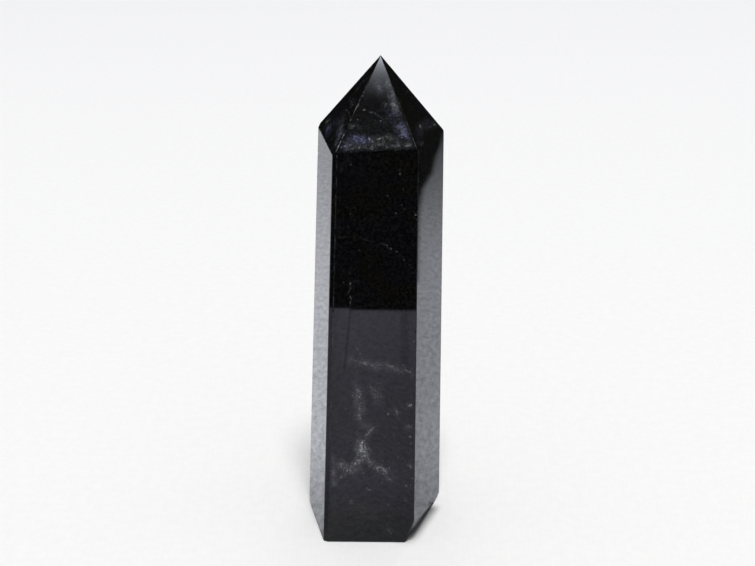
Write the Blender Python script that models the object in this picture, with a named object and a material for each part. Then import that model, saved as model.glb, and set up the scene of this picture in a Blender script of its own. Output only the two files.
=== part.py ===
"""Morion quartz crystal: a ground and polished tower of black smoky quartz.

It is one natural crystal, sawn off flat at its base. Six prism faces lean in towards a
shoulder, and six pyramid faces meet at the apex. The crystal starts as a plain block,
and each face, edge facet and base chamfer is one flat cut through it, the way a
lapidary grinds it. Two small chips are taken out with round cutters.

Metres, +Z up. The front face looks along -Y. The origin is at the centre of the base.
"""

from math import cos, radians, sin
from typing import NamedTuple

import bmesh
import bpy
from mathutils import Matrix, Vector

MM = 0.001

# Driving sizes
HEIGHT = 95.0 * MM  # base to apex
BLOCK_SIDE = 60.0 * MM  # the block that is ground down, wider than the crystal
APEX = Vector((1.22 * MM, 0.3 * MM, HEIGHT))  # a little beside the base's centre

# Cutting tolerance: a corner this close to a cut counts as lying on it
ON_CUT = 0.0005 * MM


class PrismFace(NamedTuple):
    """A prism face. Azimuth 0 looks along -Y and 90 along +X."""

    azimuth: float  # degrees
    lean: float  # degrees back from upright
    foot: float  # from the axis to the face, at the base


class PyramidFace(NamedTuple):
    """A pyramid face, which runs down from the apex."""

    azimuth: float  # degrees
    slope: float  # degrees from level


FRONT = PrismFace(0.0, 1.8, 13.7 * MM)
RIGHT = PrismFace(73.9, 0.4, 11.55 * MM)
REAR_RIGHT = PrismFace(121.0, 0.0, 14.61 * MM)
REAR = PrismFace(180.0, 1.8, 13.7 * MM)
REAR_LEFT = PrismFace(-122.0, 1.65, 12.24 * MM)
LEFT = PrismFace(-75.7, 2.25, 12.85 * MM)
PRISM = (FRONT, RIGHT, REAR_RIGHT, REAR, REAR_LEFT, LEFT)

PYRAMID_FRONT = PyramidFace(-2.5, 51.8)
PYRAMID_RIGHT = PyramidFace(76.2, 57.0)
PYRAMID_REAR_RIGHT = PyramidFace(121.0, 50.4)
PYRAMID_REAR = PyramidFace(180.0, 52.0)
PYRAMID_REAR_LEFT = PyramidFace(-122.0, 51.4)
PYRAMID_LEFT = PyramidFace(-71.4, 53.3)
PYRAMID = (
    PYRAMID_FRONT,
    PYRAMID_RIGHT,
    PYRAMID_REAR_RIGHT,
    PYRAMID_REAR,
    PYRAMID_REAR_LEFT,
    PYRAMID_LEFT,
)

# Narrow facets along two of the prism's edges: width taken off the first face, and the
# angle by which the facet is turned from it
FRONT_LEFT_FACET = (0.75 * MM, 25.0)
REAR_RIGHT_FACET = (0.4 * MM, 24.0)

# Base chamfers at two corners: lengths along the two lower edges, and height
FRONT_RIGHT_CHAMFER = (1.8 * MM, 16.0 * MM, 4.9 * MM)
LEFT_CHAMFER = (2.8 * MM, 2.6 * MM, 1.8 * MM)

# Chips: radius of the hollow and how deep it bites into the corner
SHOULDER_CHIP = (1.6 * MM, 0.35 * MM)
BASE_CHIP = (1.1 * MM, 0.55 * MM)
CHIP_BACK = 0.9 * MM  # from the right rear corner to the base chip, along the edge
CHIP_DROP = 30.0  # degrees below level at which the base chip is bitten in
CHIP_ROUNDNESS = 2  # icosphere subdivisions

BODY_COLOUR = (0.012, 0.010, 0.009, 1.0)
BODY_ROUGHNESS = 0.06
QUARTZ_IOR = 1.544


def clear_scene():
    """Removes whatever the opened file holds."""
    for item in list(bpy.data.objects):
        bpy.data.objects.remove(item, do_unlink=True)


def new_collection(name):
    """A collection in the scene."""
    group = bpy.data.collections.new(name)
    bpy.context.scene.collection.children.link(group)
    return group


def outward(azimuth, rise):
    """A unit normal with this azimuth, raised by this many degrees."""
    turn = radians(azimuth)
    level = Vector((sin(turn), -cos(turn), 0.0))
    return level * cos(radians(rise)) + Vector((0.0, 0.0, sin(radians(rise))))


def prism_normal(face):
    """The outward normal of a prism face."""
    return outward(face.azimuth, face.lean)


def prism_foot(face):
    """The point of a prism face's lower edge that is nearest to the axis."""
    return outward(face.azimuth, 0.0) * face.foot


def level_at(height):
    """A point on the axis and the upward normal there, for a level cut."""
    return Vector((0.0, 0.0, height)), Vector((0.0, 0.0, 1.0))


def meeting_point(cuts):
    """The point that three planes share, each given as a point and a normal."""
    rows = Matrix([normal for _, normal in cuts])
    reaches = Vector([normal.dot(point) for point, normal in cuts])
    return rows.inverted() @ reaches


def prism_cut(face):
    """The plane of a prism face."""
    return prism_foot(face), prism_normal(face)


def pyramid_cut(face):
    """The plane of a pyramid face, through the apex."""
    return APEX, outward(face.azimuth, 90.0 - face.slope)


def base_corner(face, neighbour):
    """The corner of the base between two prism faces."""
    return meeting_point((prism_cut(face), prism_cut(neighbour), level_at(0.0)))


def edge_at_top(face, neighbour):
    """Where the edge between two prism faces passes the height of the apex."""
    return meeting_point((prism_cut(face), prism_cut(neighbour), level_at(HEIGHT)))


def edge_facet_cut(face, neighbour, width, turn):
    """The plane of a narrow facet that runs along the edge between two prism faces."""
    normal = prism_normal(face)
    corner = base_corner(face, neighbour)
    edge = (edge_at_top(face, neighbour) - corner).normalized()
    towards_neighbour = edge.cross(normal)
    if towards_neighbour.dot(prism_normal(neighbour)) < 0.0:
        towards_neighbour.negate()
    facet_normal = normal * cos(radians(turn)) + towards_neighbour * sin(radians(turn))
    return corner - towards_neighbour * width, facet_normal


def chamfer_cut(faces, along_face, along_neighbour, height):
    """The plane of a chamfer that undercuts the base corner of the middle two faces.

    faces are four prism faces in a row round the crystal. The lengths run from the
    corner along the lower edges of the second and third, and up the edge between them.
    """
    before, face, neighbour, after = faces
    corner = base_corner(face, neighbour)
    face_way = (base_corner(before, face) - corner).normalized()
    neighbour_way = (base_corner(neighbour, after) - corner).normalized()
    on_face = corner + face_way * along_face
    on_neighbour = corner + neighbour_way * along_neighbour
    on_edge = corner + (edge_at_top(face, neighbour) - corner) * (height / HEIGHT)
    normal = (on_edge - on_face).cross(on_neighbour - on_face).normalized()
    if normal.dot(corner - on_face) < 0.0:
        normal.negate()
    return on_face, normal


def grind(mesh, point, normal):
    """Takes off all that lies outside a plane and closes the cut with one face."""
    geometry = mesh.verts[:] + mesh.edges[:] + mesh.faces[:]
    cut = bmesh.ops.bisect_plane(
        mesh, geom=geometry, dist=ON_CUT, plane_co=point, plane_no=normal, clear_outer=True
    )
    rim = [item for item in cut["geom_cut"] if isinstance(item, bmesh.types.BMEdge)]
    bmesh.ops.holes_fill(mesh, edges=rim, sides=0)


def all_cuts():
    """Every plane of the crystal, in the order in which it is ground."""
    cuts = [prism_cut(face) for face in PRISM]
    cuts += [pyramid_cut(face) for face in PYRAMID]
    cuts.append(edge_facet_cut(FRONT, LEFT, *FRONT_LEFT_FACET))
    cuts.append(edge_facet_cut(REAR_RIGHT, RIGHT, *REAR_RIGHT_FACET))
    cuts.append(chamfer_cut((LEFT, FRONT, RIGHT, REAR_RIGHT), *FRONT_RIGHT_CHAMFER))
    cuts.append(chamfer_cut((FRONT, LEFT, REAR_LEFT, REAR), *LEFT_CHAMFER))
    return cuts


def morion_material():
    """Glossy black quartz."""
    material = bpy.data.materials.new("morion")
    material.use_nodes = True
    shader = material.node_tree.nodes["Principled BSDF"]
    shader.inputs["Base Color"].default_value = BODY_COLOUR
    shader.inputs["Roughness"].default_value = BODY_ROUGHNESS
    shader.inputs["Metallic"].default_value = 0.0
    shader.inputs["IOR"].default_value = QUARTZ_IOR
    return material


def ground_block():
    """The block, standing on z = 0, with every plane ground into it."""
    mesh = bmesh.new()
    bmesh.ops.create_cube(mesh, size=1.0)
    block_height = HEIGHT * 1.2
    bmesh.ops.scale(mesh, vec=(BLOCK_SIDE, BLOCK_SIDE, block_height), verts=mesh.verts)
    bmesh.ops.translate(mesh, vec=(0.0, 0.0, block_height / 2.0), verts=mesh.verts)
    for point, normal in all_cuts():
        grind(mesh, point, normal)
    bmesh.ops.recalc_face_normals(mesh, faces=mesh.faces)
    return mesh


def crystal_object(group):
    """The crystal as an object in its collection."""
    mesh = ground_block()
    data = bpy.data.meshes.new("crystal")
    mesh.to_mesh(data)
    mesh.free()
    data.materials.append(morion_material())
    crystal = bpy.data.objects.new("crystal", data)
    group.objects.link(crystal)
    return crystal


def chip(crystal, group, name, corner, outward_way, size):
    """Bites a round hollow out of the crystal at a corner."""
    radius, depth = size
    mesh = bmesh.new()
    bmesh.ops.create_icosphere(mesh, subdivisions=CHIP_ROUNDNESS, radius=radius)
    data = bpy.data.meshes.new(name)
    mesh.to_mesh(data)
    mesh.free()
    cutter = bpy.data.objects.new(name, data)
    cutter.location = corner + outward_way.normalized() * (radius - depth)
    cutter.hide_render = True
    cutter.display_type = "WIRE"
    group.objects.link(cutter)
    bite = crystal.modifiers.new(name, "BOOLEAN")
    bite.operation = "DIFFERENCE"
    bite.solver = "EXACT"
    bite.object = cutter


def chips(crystal, group):
    """The chip at the right shoulder corner and the one at the foot of the right face."""
    cuts = (prism_cut(RIGHT), prism_cut(REAR_RIGHT), pyramid_cut(PYRAMID_RIGHT))
    shoulder = meeting_point(cuts)
    shoulder_way = sum((normal for _, normal in cuts), Vector())
    chip(crystal, group, "shoulder_chip", shoulder, shoulder_way, SHOULDER_CHIP)
    foot = base_corner(RIGHT, REAR_RIGHT)
    towards_front = (base_corner(FRONT, RIGHT) - foot).normalized()
    foot_way = outward(RIGHT.azimuth, -CHIP_DROP)
    chip(crystal, group, "base_chip", foot + towards_front * CHIP_BACK, foot_way, BASE_CHIP)


def main():
    """Builds the crystal."""
    clear_scene()
    crystal = crystal_object(new_collection("morion_crystal"))
    chips(crystal, new_collection("cutters"))


main()
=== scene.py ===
"""Looks of the morion quartz crystal: a ground and polished tower of black smoky quartz.

The piece morion_tower stands for the CAD crystal. It has the same planes, with worn edges,
nicked corners, and the whitish cracks, veils and specks that show in the polished faces.
Lengths inside the mesh code are in millimetres, and the mesh is scaled to metres at the end.
"""

from functools import reduce
from math import ceil, cos, pi, radians, sin, tan
from random import Random
from typing import NamedTuple

import bmesh
import bpy
from mathutils import Matrix, Vector, noise
from mathutils.geometry import delaunay_2d_cdt


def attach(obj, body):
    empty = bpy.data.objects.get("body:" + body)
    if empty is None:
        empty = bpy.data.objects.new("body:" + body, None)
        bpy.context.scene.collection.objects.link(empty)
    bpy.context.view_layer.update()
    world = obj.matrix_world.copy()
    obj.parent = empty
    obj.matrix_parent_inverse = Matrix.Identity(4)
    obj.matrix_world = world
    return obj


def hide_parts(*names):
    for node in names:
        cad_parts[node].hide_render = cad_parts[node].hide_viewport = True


MM = 0.001

# ---------------------------------------------------------------- the faces, by direction


class FaceWay(NamedTuple):
    """Which way a face looks: azimuth 0 is -Y and 90 is +X, and rise is up from level."""

    azimuth: float
    rise: float


FRONT = FaceWay(0.0, 1.8)
RIGHT = FaceWay(73.9, 0.4)
REAR_RIGHT = FaceWay(121.0, 0.0)
REAR = FaceWay(180.0, 1.8)
REAR_LEFT = FaceWay(-122.0, 1.65)
LEFT = FaceWay(-75.7, 2.25)
PYRAMID_FRONT = FaceWay(-2.5, 38.2)
PYRAMID_RIGHT = FaceWay(76.2, 33.0)
PYRAMID_REAR_RIGHT = FaceWay(121.0, 39.6)
PYRAMID_REAR = FaceWay(180.0, 38.0)
PYRAMID_REAR_LEFT = FaceWay(-122.0, 38.6)
PYRAMID_LEFT = FaceWay(-71.4, 36.7)
FRONT_LEFT_FACET = FaceWay(-24.4, 1.9)
BASE = FaceWay(0.0, -90.0)

# ---------------------------------------------------------------- worn edges and chips

BLOCK = 200.0  # mm, side of the block that the faces are ground into
ON_CUT = 0.0005  # mm, a corner this close to a cut counts as lying on it
SAME_ANGLE = 0.3  # degrees between triangles of one flat face
SAME_REACH = 0.01  # mm
SAME_WAY = 3.0  # degrees between a face and the way it is named for
SAME_SPOT = 1e-4  # mm
DRAWN_WAY = 1.0  # degrees between a face that is drawn on and the way it is named for
SMALLEST_FACE = 3.0  # mm2, smaller than any ground face and larger than a chip's facets
WORN_WIDTH = (0.10, 0.17)  # mm, across the worn band of an edge
WORN_FROM = 5.0  # degrees between the faces of an edge that wears
WEAR_STEP = 0.45  # mm along an edge between the corners of its worn band
LEAST_PARTS = 3  # a band too short for this many stays in one
WEAR_WANDER = 0.035  # mm, how unevenly the band wanders
NICK_CHANCE = 0.035
NICK_DEPTH = (0.08, 0.24)  # mm
NARROW_FACE = 1.0  # mm, a face narrower than this is not nicked
NARROW_WANDER = 0.0175  # mm, the most that the band wanders into it
FADE_UP = 0.6  # wear changes faster near the lower end
LEAST_TALL = 1.0  # mm, a level band counts as this tall
WEAR_RANGE = (0.05, 2.6)  # of an edge's wear, from its least to its most worn spot
WEAR_USUAL = 0.7  # of an edge's wear, where its patches are neither strong nor weak
WEAR_PATCHES = ((2.2, 0.5), (1.54, 1.9))  # how strong they are, and their waves to the mm
WEAR_SHIFT, WEAR_ROWS = 90.0, 7.0  # how far apart in the noise the bands and patches may be

# The chips: radius of the hollow and how deep it bites, in mm
SHOULDER_CHIP = (1.6, 0.36)
FOOT_CHIP = (1.15, 0.56)
EDGE_CHIP = (0.5, 0.1)
FRONT_FOOT_CHIP = (0.7, 0.22)
FOOT_CHIP_ALONG = 0.9  # mm from the right rear corner, along the edge
FOOT_CHIP_DROP = 30.0  # degrees below level at which it is bitten in
EDGE_CHIP_UP = 0.87  # of the way up the rear left edge
FRONT_FOOT_WAY = (-40.0, -50.0)  # azimuth and rise
CHIP_WEAR = 0.35
CHIP_RIPPLE = (0.012, 26.0)  # of the radius: height of the ripples, and their waves
CHIP_ROUGHNESS = (0.03, 2.2)  # of the radius, and its waves to the mm
CHIP_DETAIL = 4  # icosphere subdivisions

# How matt and pale an edge is worn at its lower and upper end: 0 is polished, 1 is chalky
# the paleness also paints the bright highlight that an edge catches
EDGE_WEAR_AND_HIGHLIGHT = (
    (PYRAMID_FRONT, PYRAMID_LEFT, (0.52, 0.0)),
    (PYRAMID_FRONT, PYRAMID_RIGHT, (0.18, 0.02)),
    (PYRAMID_FRONT, FRONT, (0.04, 0.04)),
    (PYRAMID_RIGHT, RIGHT, (0.02, 0.02)),
    (PYRAMID_LEFT, LEFT, (0.06, 0.06)),
    (FRONT, RIGHT, (0.03, 0.02)),
    (FRONT, FRONT_LEFT_FACET, (0.01, 0.07)),
    (LEFT, FRONT_LEFT_FACET, (0.03, 0.03)),
    (PYRAMID_REAR, PYRAMID_REAR_LEFT, (0.4, 0.2)),
    (PYRAMID_REAR, PYRAMID_REAR_RIGHT, (0.3, 0.2)),
    (REAR, REAR_LEFT, (0.2, 0.1)),
    (REAR, REAR_RIGHT, (0.1, 0.2)),
)
OTHER_EDGE_WEAR_AND_HIGHLIGHT = (0.04, 0.04)

# ---------------------------------------------------------------- cracks, veils and specks


class Flaw(NamedTuple):
    """A crack or veil in a face: corners as (across the face, height) in mm."""

    points: tuple
    width: float  # mm, half of the band over which it fades out
    strength: float
    blue: float = 0.0  # how blue its haze is, from 0 to 1


CRACKS = {
    FRONT: (
        # the long faint crack that sweeps down to the right, high in the face
        Flaw(((-7.6, 64.0), (-6.9, 64.0), (-3.9, 64.1), (-0.4, 63.4), (1.0, 63.0)), 0.40, 0.08),
        Flaw(((1.0, 63.0), (2.2, 62.6), (3.4, 61.6), (4.4, 61.3)), 0.36, 0.14),
        # the upright one at its left, and squiggles above and below
        Flaw(((-3.7, 59.0), (-4.3, 57.0), (-4.2, 54.9), (-4.5, 53.0), (-3.9, 52.2)), 0.36, 0.15),
        Flaw(((-4.4, 52.6), (-4.1, 51.7), (-4.3, 50.6)), 0.22, 0.42),
        Flaw(((4.8, 77.1), (4.7, 76.4), (4.8, 75.8)), 0.24, 0.42),
        # the dotted crack across the middle
        Flaw(((-4.1, 39.5), (-2.9, 39.4), (-1.7, 38.9), (-0.4, 38.5), (0.5, 38.3)), 0.30, 0.70),
        Flaw(((0.5, 38.3), (2.6, 38.6), (3.8, 38.1), (4.1, 37.4), (5.3, 37.5)), 0.28, 0.62),
        Flaw(((5.3, 37.5), (6.9, 37.3), (7.6, 36.2), (7.8, 35.9)), 0.26, 0.55),
        Flaw(((-3.4, 42.3), (-2.2, 40.5)), 0.24, 0.42),
        Flaw(((-8.3, 37.3), (-7.9, 36.4)), 0.30, 0.75),
        # the one that runs down from it
        Flaw(((-3.1, 33.7), (-2.6, 32.4), (-2.3, 31.0)), 0.34, 0.80),
        Flaw(((-2.3, 31.0), (-2.7, 28.8), (-2.5, 27.2), (-1.1, 25.4)), 0.30, 0.50),
        Flaw(((-0.4, 34.1), (0.0, 33.1)), 0.28, 0.48),
        Flaw(((6.6, 29.9), (7.4, 30.5)), 0.28, 0.75),
        Flaw(((4.2, 29.3), (4.9, 28.0)), 0.24, 0.48),
        Flaw(((6.8, 26.2), (6.8, 25.2)), 0.26, 0.55),
        # the star of cracks, low in the face
        Flaw(((0.5, 25.8), (-0.4, 24.8), (-1.6, 23.1)), 0.32, 0.55),
        Flaw(((-1.6, 23.1), (-2.4, 21.8), (-2.0, 20.7), (-1.4, 19.1)), 0.46, 0.75),
        Flaw(((-1.6, 21.1), (-3.0, 20.0), (-2.7, 19.0)), 0.44, 0.7),
        Flaw(((-1.4, 19.1), (-0.2, 17.3), (1.9, 16.4), (3.0, 15.6)), 0.36, 0.62),
        Flaw(((-0.2, 17.3), (1.2, 15.7), (3.8, 14.0)), 0.34, 0.60),
        Flaw(((-2.1, 19.4), (-3.4, 17.6), (-4.4, 16.6), (-5.6, 15.3), (-6.6, 14.5)), 0.38, 0.52),
        Flaw(((-6.6, 14.5), (-8.3, 13.2)), 0.30, 0.42),
        Flaw(((-5.6, 15.3), (-6.3, 17.4), (-6.2, 17.8)), 0.30, 0.66),
        Flaw(((-4.7, 9.5), (-3.9, 8.5)), 0.30, 0.66),
        Flaw(((-1.6, 12.5), (-0.2, 11.4)), 0.26, 0.28),
        Flaw(((7.0, 17.5), (7.7, 16.6)), 0.26, 0.55),
        Flaw(((3.0, 3.2), (3.6, 1.7)), 0.26, 0.48),
    ),
    PYRAMID_FRONT: (
        Flaw(((1.0, 89.9), (1.2, 89.5), (1.7, 89.6)), 0.34, 0.32),
        Flaw(((2.1, 87.0), (2.8, 87.5)), 0.28, 0.62),
        Flaw(((-1.0, 86.5), (0.6, 85.9), (1.9, 85.3), (3.2, 84.6)), 0.30, 0.20),
        Flaw(((0.3, 85.2), (1.1, 84.1)), 0.28, 0.22),
        Flaw(((-3.5, 84.3), (-3.1, 83.6)), 0.26, 0.52),
        Flaw(((0.6, 82.0), (2.7, 82.5), (4.0, 82.3)), 0.30, 0.60),
        Flaw(((-4.9, 80.5), (-1.8, 80.8), (1.7, 81.0)), 0.5, 0.3),
        Flaw(((3.3, 80.9), (5.3, 81.3), (7.4, 81.3)), 0.5, 0.38),
    ),
    PYRAMID_RIGHT: (
        Flaw(((-0.9, 82.8), (-2.0, 82.4)), 0.30, 0.85),
        Flaw(((0.3, 81.9), (6.9, 80.9)), 0.22, 0.50),
        Flaw(((-6.6, 80.9), (-4.6, 80.6)), 0.24, 0.48),
    ),
    PYRAMID_LEFT: (Flaw(((0.3, 85.4), (2.1, 85.7), (4.2, 85.4)), 0.20, 0.40),),
}

VEILS = {
    FRONT: (
        Flaw(((-2.3, 22.4), (-2.0, 18.8)), 1.7, 1.7),
        Flaw(((-3.0, 33.8), (-2.4, 27.5), (-1.0, 25.0)), 1.6, 0.45),
        Flaw(((-1.8, 19.2), (0.4, 17.0), (3.0, 15.2)), 1.2, 0.7),
        Flaw(((0.4, 33.6), (1.0, 31.4)), 1.3, 0.6),
        Flaw(((-4.8, 39.7), (0.5, 38.3), (7.0, 37.2)), 1.4, 0.3),
        Flaw(((-6.6, 17.6), (-4.2, 16.0), (-2.4, 18.6)), 1.4, 0.7),
        Flaw(((-7.6, 19.1), (-7.8, 15.8), (-7.8, 12.6)), 1.0, 0.5),
        Flaw(((-4.6, 79.0), (-4.5, 78.0)), 0.9, 0.3),
    ),
    PYRAMID_FRONT: (
        Flaw(((-4.7, 81.0), (-1.8, 81.4), (1.7, 81.6), (5.3, 81.6), (7.4, 81.5)), 1.7, 0.42),
        Flaw(((-2.5, 83.4), (0.5, 84.4), (3.0, 85.0)), 2.2, 0.07),
        Flaw(((-3.2, 82.2), (-2.1, 82.0), (-0.8, 82.0)), 1.2, 1.2, 1.0),
        Flaw(((-4.6, 81.2), (-4.0, 80.7)), 1.0, 0.8, 0.7),
        Flaw(((3.9, 86.3), (5.2, 84.3), (6.1, 82.7)), 1.7, 0.8, 0.8),
        Flaw(((5.7, 83.8), (6.6, 82.4)), 0.9, 1.3, 0.8),
        Flaw(((2.6, 91.2), (3.6, 89.2), (4.0, 87.7), (4.6, 86.0)), 1.1, 1.25, 0.2),
        Flaw(((0.8, 91.0), (1.6, 89.0)), 1.2, 0.4, 0.3),
    ),
    PYRAMID_LEFT: (
        Flaw(((-3.3, 82.6), (-2.8, 82.2)), 0.9, 0.8),
        Flaw(((-1.4, 82.0), (-0.4, 81.8)), 1.1, 0.9, 1.0),
        Flaw(((3.0, 83.5), (6.0, 82.0), (7.4, 80.9)), 1.6, 0.6, 0.5),
    ),
    PYRAMID_RIGHT: (Flaw(((-6.0, 82.4), (5.0, 82.0)), 1.4, 0.2, 0.4),),
}

# Each row is one speck: across the face and height in mm, half width in mm, and strength
SPECKS = {
    FRONT: (
        (3.1, 16.7, 0.30, 0.9), (1.9, 18.3, 0.24, 0.55), (-6.3, 14.4, 0.28, 0.8),
        (-1.8, 15.5, 0.24, 0.55), (7.2, 23.5, 0.38, 0.85), (7.3, 22.0, 0.26, 0.6),
        (7.4, 20.4, 0.26, 0.6), (5.0, 22.0, 0.24, 0.5), (4.9, 19.0, 0.24, 0.5),
        (6.5, 12.8, 0.38, 0.85), (7.3, 12.9, 0.26, 0.55), (6.3, 9.5, 0.26, 0.6),
        (1.7, 13.4, 0.24, 0.5), (3.2, 6.1, 0.24, 0.5), (2.9, 8.6, 0.24, 0.5),
        (-4.0, 32.1, 0.28, 0.6), (-5.5, 31.8, 0.26, 0.55), (-5.2, 29.3, 0.26, 0.5),
        (2.9, 28.3, 0.34, 0.95), (7.3, 31.9, 0.26, 0.5), (-1.7, 38.9, 0.42, 1.1),
        (-4.1, 68.5, 0.22, 0.4), (-3.3, 69.7, 0.22, 0.4), (-1.3, 67.5, 0.22, 0.4),
        (2.7, 72.0, 0.22, 0.4), (5.5, 73.3, 0.22, 0.4), (5.2, 70.3, 0.22, 0.4),
        (4.2, 68.7, 0.22, 0.45), (7.75, 68.4, 0.30, 1.1), (-4.5, 66.1, 0.22, 0.4),
        (-6.0, 66.1, 0.22, 0.4), (-2.5, 61.5, 0.22, 0.4), (-4.2, 54.9, 0.26, 0.8),
        (-5.4, 57.4, 0.22, 0.45), (-5.4, 55.2, 0.22, 0.45), (-7.0, 64.0, 0.24, 0.5),
        (4.4, 61.3, 0.30, 0.85), (3.3, 61.9, 0.26, 0.5), (2.6, 62.5, 0.26, 0.45),
        (1.5, 62.9, 0.26, 0.4), (-1.2, 63.5, 0.24, 0.3),
    ),
    PYRAMID_FRONT: (
        (-1.3, 86.5, 0.36, 0.6), (0.6, 86.0, 0.30, 1.0), (1.7, 84.8, 0.30, 1.0),
        (-2.4, 85.0, 0.24, 0.5), (-0.2, 82.1, 0.36, 1.2), (5.6, 82.4, 0.34, 1.1),
        (-5.2, 80.8, 0.30, 0.7), (-2.0, 80.8, 0.28, 0.7), (2.2, 81.4, 0.26, 0.6),
        (3.0, 80.9, 0.26, 0.7), (7.2, 81.4, 0.40, 0.9),
    ),
    PYRAMID_LEFT: ((7.2, 82.0, 0.26, 0.7), (4.8, 85.1, 0.24, 0.5), (6.4, 80.9, 0.28, 0.7)),
    PYRAMID_RIGHT: ((8.2, 83.4, 0.24, 0.6), (6.2, 80.9, 0.28, 0.7)),
    LEFT: ((-3.6, 69.6, 0.34, 1.0),),
}

# Faces whose flaws are left to chance: how many cracks, and how plain they are
GROWN_FLAWS = (
    (PYRAMID_LEFT, 5, 0.3),
    (PYRAMID_RIGHT, 5, 0.3),
    (LEFT, 4, 0.35),
    (RIGHT, 4, 0.35),
    (REAR_RIGHT, 7, 0.7),
    (REAR, 10, 0.8),
    (REAR_LEFT, 8, 0.7),
    (PYRAMID_REAR_RIGHT, 3, 0.8),
    (PYRAMID_REAR, 4, 0.8),
    (PYRAMID_REAR_LEFT, 3, 0.8),
)

GROWN_STEPS = (2, 5)  # lengths in a crack
GROWN_STEP = (0.8, 2.0)  # mm, each length
GROWN_TURN = 0.7  # radians, the most that it turns between two of them
GROWN_STRENGTH = (0.5, 1.2)  # of the face's strength
GROWN_CRACK = (0.24, 0.34)  # mm, half width
GROWN_VEIL = (0.9, 2.0)
GROWN_VEIL_CHANCE = 0.6  # of a veil at a crack
GROWN_SPECK = (0.22, 0.34)
GROWN_SPECKS = 3  # for each crack

FLAW_STEP = 0.32  # mm between the corners of a crack
FLAW_WANDER = ((0.28, 1.1), (0.14, 3.7))  # how far a crack strays, and waves to the mm
WANDER_SHIFT, WANDER_ROWS = 100.0, 5.0  # how far apart in the noise the cracks and waves may be
END_WANDER = 0.3  # of it, at a crack's last corner
FACE_MARGIN = 0.35  # mm, flaws end this far inside a face's rim
FLAW_LAYERS = ("crack", "veil", "blue")  # numbers stored at the mesh's corners
BEAD_CHANCE = 0.28  # of a bright bead at a corner of a crack
BEAD = 0.75  # how much stronger it is there
BEAD_GAP = (-0.6, 0.1)  # and how much weaker between the beads
FLAW_USUAL = 0.78  # of a flaw's strength, where its patches are neither strong nor weak
FLAW_PATCHES = (0.9, 0.4)  # how strong they are, and their waves to a corner
FLAW_SHIFT = 50.0  # how far apart in the noise two flaws may be
FLAW_RANGE = (0.12, 1.7)  # of its strength, from its weakest to its strongest corner
FLAW_EDGE = (0.6, 1.25)  # of its half width, where it has faded out
DOT_EDGE = (0.75, 1.3)  # the same for a speck
DOT_CORNERS = 6
TAPER = 0.15  # of a flaw's length, over which it fades towards an end
VEIL_END = 0.4  # of a veil's strength, at its ends
CORE = 0.5  # of the half width, where a crack or speck has faded out beside its line or middle
BESIDE_CRACK = 0.8  # of a crack's strength, close beside its line
HAZY_CRACK = 0.45  # cracks plainer than this have haze round them
CRACK_HAZE = (1.0, 0.5)  # its half width in mm, and its strength as a share of the crack's


# ---------------------------------------------------------------- small geometry helpers


def placed(name, mesh):
    """A new object in the scene that holds this bmesh, which is freed."""
    data = bpy.data.meshes.new(name)
    mesh.to_mesh(data)
    mesh.free()
    return linked(name, data)


def linked(name, data):
    """A new object in the scene with this data."""
    item = bpy.data.objects.new(name, data)
    bpy.context.scene.collection.objects.link(item)
    return item


def outward(azimuth, rise):
    """The unit vector with this azimuth and rise, in degrees."""
    level = Vector((sin(radians(azimuth)), -cos(radians(azimuth)), 0.0))
    return level * cos(radians(rise)) + Vector((0.0, 0.0, sin(radians(rise))))


def grind(mesh, point, normal):
    """Takes off all that lies outside a plane, and returns what closes the cut."""
    geometry = mesh.verts[:] + mesh.edges[:] + mesh.faces[:]
    cut = bmesh.ops.bisect_plane(
        mesh, geom=geometry, dist=ON_CUT, plane_co=point, plane_no=normal, clear_outer=True
    )
    rim = [item for item in cut["geom_cut"] if isinstance(item, bmesh.types.BMEdge)]
    return bmesh.ops.holes_fill(mesh, edges=rim, sides=0)["faces"]


def ground_planes(data):
    """The (normal, reach) of each ground face of the CAD crystal, in mm, without its chips."""
    found = []
    for polygon in sorted(data.polygons, key=lambda item: -item.area):
        normal, reach = polygon.normal.copy(), polygon.normal.dot(polygon.center) / MM
        for entry in found:
            if (
                entry[0].angle(normal) < radians(SAME_ANGLE)
                and abs(entry[1] - reach) < SAME_REACH
            ):
                entry[2] += polygon.area / MM**2
                break
        else:
            found.append([normal, reach, polygon.area / MM**2])
    return [(normal, reach) for normal, reach, area in found if area > SMALLEST_FACE]


def polished_block(planes):
    """The crystal's plain solid: a block with every ground face cut into it."""
    mesh = bmesh.new()
    bmesh.ops.create_cube(mesh, size=BLOCK)
    for normal, reach in planes:
        grind(mesh, normal * reach, normal)
    bmesh.ops.recalc_face_normals(mesh, faces=mesh.faces)
    mesh.normal_update()
    return mesh


def looks(face, way):
    """True if a face looks this way."""
    return face.normal.dot(outward(*way)) > cos(radians(SAME_WAY))


def edge_wear_and_highlight(first, second):
    """How worn the edge between two faces is, and how strong its painted highlight is."""
    for one, other, strength in EDGE_WEAR_AND_HIGHLIGHT:
        if (looks(first, one) and looks(second, other)) or (
            looks(first, other) and looks(second, one)
        ):
            return strength
    return OTHER_EDGE_WEAR_AND_HIGHLIGHT


def wear_edges(mesh, dice):
    """Cuts a narrow flat along every edge, and numbers those faces from 1."""
    worn = mesh.faces.layers.float.new("wear_and_highlight")
    cuts = []
    for edge in mesh.edges:
        first, second = edge.link_faces
        turn = first.normal.angle(second.normal)
        if turn > radians(WORN_FROM):
            width = dice.uniform(*WORN_WIDTH)
            normal = (first.normal + second.normal).normalized()
            depth = width / 2.0 * tan(turn / 2.0)
            place = edge.verts[0].co - normal * depth
            cuts.append((place, normal, edge_wear_and_highlight(first, second)))
    bands = {}
    for place, normal, wear_and_highlight in cuts:
        for face in grind(mesh, place, normal):
            face[worn] = len(bands) + 1.0
            bands[len(bands) + 1] = wear_and_highlight
    mesh.normal_update()
    return worn, bands


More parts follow.
